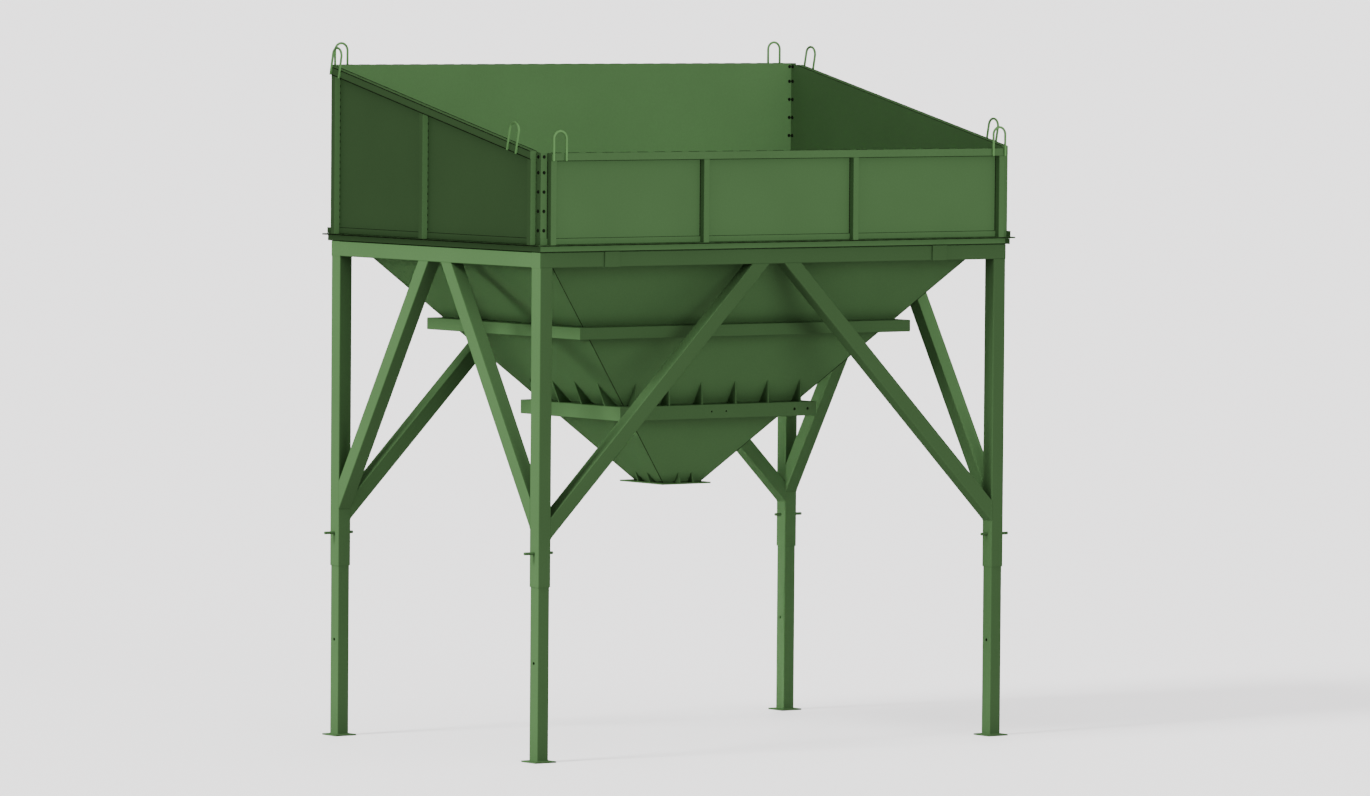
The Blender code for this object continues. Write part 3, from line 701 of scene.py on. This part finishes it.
class HOPPER_OT_bin(Operator):
    """Bin walls: sheet, foot angle, posts and top rail, with their seams"""
    bl_idname = "hopper.bin"
    bl_label = "Bin"

    def execute(self, context):
        s = sizes()
        half_x, half_y = halves()
        for side in SIDES:
            half, reach = (half_y, half_x) if is_long(side) else (half_x, half_y)
            clear = 0.001
            last = reach - s.corner_leg - s.post / 2 - clear
            inner = (-s.inner_posts, s.inner_posts) if is_long(side) else (s.side_post,)
            posts = (-last, *inner, last)
            self.add_wall(side, half, reach, posts)
            self.add_seams(side, half, reach, posts)
        return {"FINISHED"}

    def add_wall(self, side, half, reach, posts):
        """The wall of one side, from its distance to the middle, its half length and its posts' places."""
        s = sizes()
        low = s.flange_joint + s.gap / 2
        out, along = wall_directions(side)
        slope = wall_slope(side)
        sunk = 0.001

        def at(away, place, z):
            return out * (half + away) + along * place + UP * z

        # Sheet, mitred at the corners.
        end = reach - s.sheet - s.gap
        bm = bmesh.new()
        add_prism(bm, [at(-s.sheet, -end, low), at(-s.sheet, end, low),
                       at(-s.sheet, end, wall_top(side, end) - sunk),
                       at(-s.sheet, -end, wall_top(side, -end) - sunk)], out * s.sheet)
        # Foot angle: a flange outwards and a leg upwards.
        tip = reach + s.angle_leg - s.gap
        add_prism(bm, [at(-s.sheet, -end, low), at(-s.sheet, end, low), at(s.angle_leg, tip, low),
                       at(s.angle_leg, -tip, low)], UP * s.angle_thickness)
        outer = reach + s.angle_thickness
        add_prism(bm, [at(0, -reach, low), at(0, reach, low), at(s.angle_thickness, outer, low),
                       at(s.angle_thickness, -outer, low)], UP * s.angle_leg)
        # Top rail and posts.
        rail_end = along * (reach - s.corner_leg)
        add_bar(bm, at(s.rail / 2, 0, wall_top(side, 0) - rail_depth(side) / 2),
                along * math.cos(slope) + UP * math.sin(slope), out, s.rail, s.rail_corner,
                (-rail_end, along), (rail_end, along))
        for place in posts:
            head = at(s.post / 2 - sunk, place, wall_top(side, place) - rail_depth(side))
            add_bar(bm, head, UP, along, s.post, s.rail_corner, (UP * (low + s.angle_thickness), UP),
                    (head, UP * math.cos(slope) - along * math.sin(slope)))
        finish_piece("Bin wall " + side, bm, "Bin green", ["wall_" + side])

    def add_seams(self, side, half, reach, posts):
        """Dark weld beads, stitches and sealant of the same wall, and dark painted shade lines along the side
        walls' rails.
        """
        s = sizes()
        low = s.flange_joint + s.gap / 2
        out, along = wall_directions(side)
        proud, long_ripple = 0.0005, 0.05
        bays = [(a + s.post / 2, b - s.post / 2) for a, b in zip(posts, posts[1:])]

        def at(away, place, z):
            return out * (half + away) + along * place + UP * z

        def under_rail(place):
            return at(proud, place, wall_top(side, place) - rail_depth(side))

        bm = bmesh.new()
        for bay in bays:
            add_bead(bm, under_rail(bay[0]), under_rail(bay[1]), s.weld * 1.3)
        for place in posts:
            for edge in (place - s.post / 2, place + s.post / 2):
                weld = add_bead if is_long(side) else add_stitches
                weld(bm, at(proud, edge, low + s.angle_leg), under_rail(edge), s.weld * 1.1)
        # Along the rail: stitches on the front and rear walls; on the side walls, a seam line where the sheet
        # meets the rail and dark painted shade lines along the rail's outer edges.
        end = reach - s.corner_leg
        start, stop = (at(proud, place, wall_top(side, place)) for place in (-end, end))
        if is_long(side):
            add_stitches(bm, start, stop, s.weld * 0.6, dash=0.09, space=0.14)
        else:
            face = out * s.rail
            for edge in (Vector(), face, face - UP * rail_depth(side)):
                add_bead(bm, start + edge, stop + edge, s.weld * 0.9, long_ripple)
        # Sealant round the joint of the two flanges, and seams along the foot angle.
        tip = reach + s.angle_leg - s.gap
        add_bead(bm, at(s.angle_leg, -tip, s.flange_joint), at(s.angle_leg, tip, s.flange_joint),
                 s.weld * 1.2, long_ripple)
        for bay in bays:
            for away, level in ((0.001, low + s.angle_leg), (s.angle_thickness, low + s.angle_thickness)):
                add_bead(bm, at(away, bay[0], level), at(away, bay[1], level), s.weld * 0.8)
        finish_piece("Seams " + side, bm, "Seam green")


class HOPPER_OT_corners(Operator):
    """Bolted angles over the bin's corners, and the ears of the foot angles"""
    bl_idname = "hopper.corners"
    bl_label = "Corner angles"

    def execute(self, context):
        s = sizes()
        low = s.flange_joint + s.angle_leg + s.gap
        for corner, (sx, sy) in CORNERS.items():
            top = s.rear_top if sy > 0 else s.front_top
            near_x, near_y = (half + s.gap for half in halves())
            far_x, far_y = near_x + s.angle_thickness, near_y + s.angle_thickness
            outline = ((far_x, far_y), (far_x - s.corner_leg, far_y), (far_x - s.corner_leg, near_y),
                       (near_x, near_y), (near_x, far_y - s.corner_leg), (far_x, far_y - s.corner_leg))
            bm = bmesh.new()
            add_prism(bm, [(sx * x, sy * y, low) for x, y in outline], UP * (top - low))
            finish_piece("Corner angle " + corner, bm, "Bin green",
                         ["corner_angle_" + corner])
            self.add_bolts(corner, low, top, far_x, far_y)
            if corner != "front_left":
                self.add_ears(corner)
        return {"FINISHED"}

    def add_bolts(self, corner, low, top, far_x, far_y):
        """Bolts of one angle, with their nuts inside. The front right angle has none to the front."""
        s = sizes()
        sx, sy = CORNERS[corner]
        half_x, half_y = halves()
        bolt_x, bolt_y = sx * (half_x - s.bolt_inset), sy * (half_y - s.bolt_inset)
        head, nut = 0.0055, 0.008
        end, first_step = 0.025, 0.102
        levels = [top - end, top - end - first_step]
        while levels[-1] > low + end + s.bolt_step:
            levels.append(levels[-1] - s.bolt_step)
        bm = bmesh.new()
        for level in levels:
            if corner != "front_right":
                add_bolt(bm, (bolt_x, sy * far_y, level), sy * BACK, s.bolt_size, head)
            add_bolt(bm, (sx * far_x, bolt_y, level), sx * RIGHT, s.bolt_size, head)
            add_bolt(bm, (bolt_x, sy * (half_y - s.sheet), level), -sy * BACK, s.bolt_size, nut)
            add_bolt(bm, (sx * (half_x - s.sheet), bolt_y, level), -sx * RIGHT, s.bolt_size, nut)
        finish_piece("Corner bolts " + corner, bm, "Dark bolt")

    def add_ears(self, corner):
        """Small upright ears of one corner, above and below the flange joint."""
        s = sizes()
        sx, sy = CORNERS[corner]
        half_x, half_y = halves()
        step = s.angle_thickness + 0.001
        near_y, far_y = half_y + s.gap, half_y + s.angle_leg
        bm = bmesh.new()
        for near_x, bottom, top in (
                (half_x + s.gap, s.flange_joint + step, s.flange_joint + s.angle_leg),
                (half_x - s.angle_thickness, s.beam_top + 0.001, s.flange_joint - step)):
            far_x = near_x + s.angle_thickness - s.gap
            add_block(bm, (sx * near_x, sy * near_y, bottom), (sx * far_x, sy * far_y, top), radius=0.0008)
        finish_piece("Corner ears " + corner, bm, "Bin green")


class HOPPER_OT_loops(Operator):
    """Eight lifting loops of round bar on the top rails"""
    bl_idname = "hopper.loops"
    bl_label = "Lifting loops"

    def execute(self, context):
        s = sizes()
        radius, arc = s.loop_bar / 2, s.loop_width / 2
        for side, end, foot, along, up in loop_feet(s.rail + radius + s.gap):
            bm = bmesh.new()
            add_hoop(bm, foot, along, up, s.loop_height - radius - arc, arc, radius)
            finish_piece(f"Lifting loop {side} {end}", bm, "Loop green",
                         [f"lifting_loop_{side}_{end}"])
        return {"FINISHED"}


class HOPPER_OT_welds(Operator):
    """Weld beads of the hopper sheets, the frame, the rings and the lifting loops"""
    bl_idname = "hopper.welds"
    bl_label = "Welds"

    def execute(self, context):
        self.add_hopper_seams()
        for corner in CORNERS:
            self.add_frame_welds(corner)
        self.add_ring_welds()
        self.add_loop_welds()
        return {"FINISHED"}

    def add_hopper_seams(self):
        """The four edges where the hopper sheets meet."""
        s = sizes()
        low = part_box("hopper_front")[0].z
        foot, head = hopper_outside(low), hopper_outside(s.beam_top)
        bm = bmesh.new()
        for sx, sy in CORNERS.values():
            add_bead(bm, (sx * foot[0], sy * foot[1], low), (sx * head[0], sy * head[1], s.beam_top),
                     s.weld * 0.7)
        finish_piece("Hopper seams", bm, "Seam green")

    def add_frame_welds(self, corner):
        """Leg to beams, foot plate to leg, braces to leg and beams."""
        s = sizes()
        leg = leg_middle(corner)
        under = s.beam_top - s.tube
        half = s.tube / 2 - BEAD_INSET
        bm = bmesh.new()
        add_bead_loop(bm, level_outline(leg, half, half, under), s.weld)
        add_bead_loop(bm, level_outline(leg, s.inner_tube / 2, s.inner_tube / 2, s.plate_thickness), s.weld)
        for kind, out, across, face, foot, angle in braces(corner):
            high = foot + s.tube / math.cos(angle)
            near, far = (face - out * ((under - z) / math.tan(angle)) + UP * under for z in (high, foot))
            for one, two in ((face + UP * foot, face + UP * high), (near, far)):
                add_bead_loop(bm, [one - across * half, one + across * half, two + across * half,
                                   two - across * half], s.weld)
        finish_piece("Frame welds " + corner, bm, "Frame green")

    def add_ring_welds(self):
        """Rings to the hopper, the mitres of the rings, and the outlet to the hopper."""
        s = sizes()
        bm = bmesh.new()
        for ring, size in (("upper", s.upper_ring), ("lower", s.lower_ring)):
            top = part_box(ring + "_ring_front")[0].z + size
            outside = hopper_outside(top)
            add_bead_loop(bm, level_outline(Vector(), *outside, top), s.weld)
            for sx, sy in CORNERS.values():
                x, y = (half + s.gap for half in outside)
                edge = size - BEAD_INSET
                root = Vector((sx * x, sy * y, top))
                tip = Vector((sx * (x + edge), sy * (y + edge), top - BEAD_INSET))
                low_tip = tip - UP * (size - 2 * BEAD_INSET)
                for start, end in ((root, tip), (tip, low_tip), (low_tip, root - UP * size)):
                    add_bead(bm, start, end, s.weld * 0.6)
        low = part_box("hopper_front")[0].z
        add_bead_loop(bm, level_outline(Vector(), *hopper_outside(low), low), s.weld * 0.8)
        finish_piece("Ring welds", bm, "Frame green")

    def add_loop_welds(self):
        """Two beads on each leg of each lifting loop."""
        s = sizes()
        beside, proud, size = 0.0055, 0.0015, 0.006
        bm = bmesh.new()
        for side, end, foot, along, up in loop_feet(s.rail):
            out = wall_directions(side)[0]
            for leg in (-s.loop_width / 2, s.loop_width / 2):
                for edge in (leg - beside, leg + beside):
                    start = foot + along * edge + out * proud
                    add_bead(bm, start + up * 0.004, start + up * (s.rail - 0.006), size, ripple=0.006)
        finish_piece("Loop welds", bm, "Loop green")


def light_group(name, pieces):
    """A collection of the pieces that one light reaches."""
    group = bpy.data.collections.new(name)
    for piece in pieces:
        group.objects.link(bpy.data.objects[piece])
    return group


def add_light(name, direction, strength, width, group=None, shadow=True):
    """A light from a direction, its width in degrees, on to a group of pieces or on to all of them."""
    light = bpy.data.lights.new(name, "SUN")
    light.energy = strength
    light.angle = math.radians(width)
    light.use_shadow = shadow
    lamp = bpy.data.objects.new(name, light)
    lamp.rotation_euler = Vector(direction).to_track_quat("Z", "Y").to_euler()
    bpy.context.scene.collection.objects.link(lamp)
    if group:
        lamp.light_linking.receiver_collection = group


class HOPPER_OT_stage(Operator):
    """Pale floor, soft lights and the camera of the photograph"""
    bl_idname = "hopper.stage"
    bl_label = "Stage"

    def execute(self, context):
        self.add_floor(context.scene)
        self.add_lights(context.scene)
        self.add_camera(context.scene)
        return {"FINISHED"}

    def add_floor(self, scene):
        """A wide pale floor just under the feet, which throws no light back on to the hopper."""
        bm = bmesh.new()
        bmesh.ops.create_grid(bm, x_segments=1, y_segments=1, size=4000.0)
        mesh = to_mesh(bm, "Floor")
        floor = bpy.data.objects.new("Floor", mesh)
        floor.location.z = -0.001
        scene.collection.objects.link(floor)
        material = bpy.data.materials.new("Floor")
        material.use_nodes = True
        shader = material.node_tree.nodes["Principled BSDF"]
        shader.inputs["Base Color"].default_value = (*scene.hopper_colours.floor, 1.0)
        shader.inputs["Roughness"].default_value = 0.9
        shader.inputs["Specular IOR Level"].default_value = 0.1
        mesh.materials.append(material)
        floor.visible_diffuse = False

    def add_lights(self, scene):
        """The bin is lit from the front, and the frame and the floor from the left."""
        world = bpy.data.worlds.new("Studio")
        world.use_nodes = True
        world.node_tree.nodes["Background"].inputs["Color"].default_value = (1.0, 0.90, 1.0, 1.0)
        world.node_tree.nodes["Background"].inputs["Strength"].default_value = 0.50
        scene.world = world

        names = [piece.name for piece in scene.objects if piece.type == "MESH"]
        upper = light_group("Lit from the front", [name for name in names if name.startswith(BIN_PIECES)])
        lower = light_group("Lit from the left", [name for name in names if not name.startswith(BIN_PIECES)])
        sheets = light_group("Lit from below", ["Hopper_sheet_" + side for side in SIDES])
        far = light_group("Lit behind the hopper", ["Brace_across_rear_right", "Brace_along_rear_right",
                                                    "Outer_leg_rear_right", "Inner_leg_rear_right"])
        brace = light_group("Lit from above", ["Brace_across_front_right"])
        inside = light_group("Lit inside", ["Bin_wall_right", "Bin_wall_rear"])
        floor = light_group("Lit floor", ["Floor"])
        add_light("Left key", (-0.85, 0.00, 0.70), 3.8, 14, lower)
        add_light("Left low key", (-1.00, 0.00, 0.15), 2.2, 16, lower)
        add_light("Front low key", (0.00, -1.00, 0.27), 1.3, 32, lower)
        add_light("Sheet fill", (-0.30, -0.70, -0.65), 0.55, 40, sheets, shadow=False)
        add_light("Far fill", (-1.00, 0.00, 0.10), 1.6, 40, far, shadow=False)
        add_light("Brace fill", (0.00, -0.50, 0.86), 3.0, 40, brace, shadow=False)
        add_light("Front key", (0.00, -0.98, 0.20), 2.55, 40, upper, shadow=False)
        add_light("Side fill", (-1.00, 0.00, 0.10), 0.40, 40, upper, shadow=False)
        add_light("Inside fill", (-0.60, -0.80, 0.25), 0.8, 40, inside, shadow=False)
        add_light("Back fill", (0.60, 0.80, 0.35), 1.4, 40)
        add_light("Top light", (0.05, -0.10, 1.00), 4.5, 60, floor, shadow=False)

    def add_camera(self, scene):
        """A long lens from the front left, aimed at a point above the middle of the frame."""
        turn, lift, roll = math.radians(-36.36), math.radians(2.99), 0.0077
        aim, distance = Vector((0, 0, 2.3)), 60.0
        width, height, pixels_per_metre = 1370, 796, 149.2
        aim_column, aim_row = 668.5, 393.0
        back = Vector((math.sin(turn) * math.cos(lift), -math.cos(turn) * math.cos(lift), math.sin(lift)))
        side = (-back).cross(UP).normalized()
        up = side.cross(-back)
        right = math.cos(roll) * side + math.sin(roll) * up
        over = -math.sin(roll) * side + math.cos(roll) * up
        data = bpy.data.cameras.new("Camera")
        data.sensor_width = 36.0
        data.lens = pixels_per_metre * distance * data.sensor_width / width
        data.shift_x = (width / 2 - aim_column) / width
        data.shift_y = (aim_row - height / 2) / width
        data.clip_end = 8000.0
        camera = bpy.data.objects.new("Camera", data)
        pose = Matrix((right, over, back)).transposed().to_4x4()
        pose.translation = aim + back * distance
        camera.matrix_world = pose
        scene.collection.objects.link(camera)
        scene.camera = camera


class HOPPER_PT_panel(Panel):
    """Lists the hopper's groups in the sidebar"""
    bl_idname = "HOPPER_PT_panel"
    bl_label = "Receiving Hopper"
    bl_space_type = "VIEW_3D"
    bl_region_type = "UI"
    bl_category = "Hopper"

    def draw(self, context):
        layout = self.layout
        for step in STEPS:
            layout.operator(step.bl_idname)
        for group in (context.scene.hopper_sizes, context.scene.hopper_colours):
            for name in group.__annotations__:
                layout.prop(group, name)


STEPS = (HOPPER_OT_paint, HOPPER_OT_legs, HOPPER_OT_frame, HOPPER_OT_hopper, HOPPER_OT_rings,
         HOPPER_OT_bin, HOPPER_OT_corners, HOPPER_OT_loops, HOPPER_OT_welds, HOPPER_OT_stage)
CLASSES = (HopperSizes, HopperColours, *STEPS, HOPPER_PT_panel)


def register():
    for cls in CLASSES:
        bpy.utils.register_class(cls)
    bpy.types.Scene.hopper_sizes = PointerProperty(type=HopperSizes)
    bpy.types.Scene.hopper_colours = PointerProperty(type=HopperColours)


def unregister():
    del bpy.types.Scene.hopper_colours
    del bpy.types.Scene.hopper_sizes
    for cls in reversed(CLASSES):
        bpy.utils.unregister_class(cls)


def main():
    register()
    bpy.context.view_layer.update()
    bpy.ops.hopper.paint()
    bpy.ops.hopper.legs()
    bpy.ops.hopper.frame()
    bpy.ops.hopper.hopper()
    bpy.ops.hopper.rings()
    bpy.ops.hopper.bin()
    bpy.ops.hopper.corners()
    bpy.ops.hopper.loops()
    bpy.ops.hopper.welds()
    bpy.ops.hopper.stage()


if __name__ == "__main__":
    main()
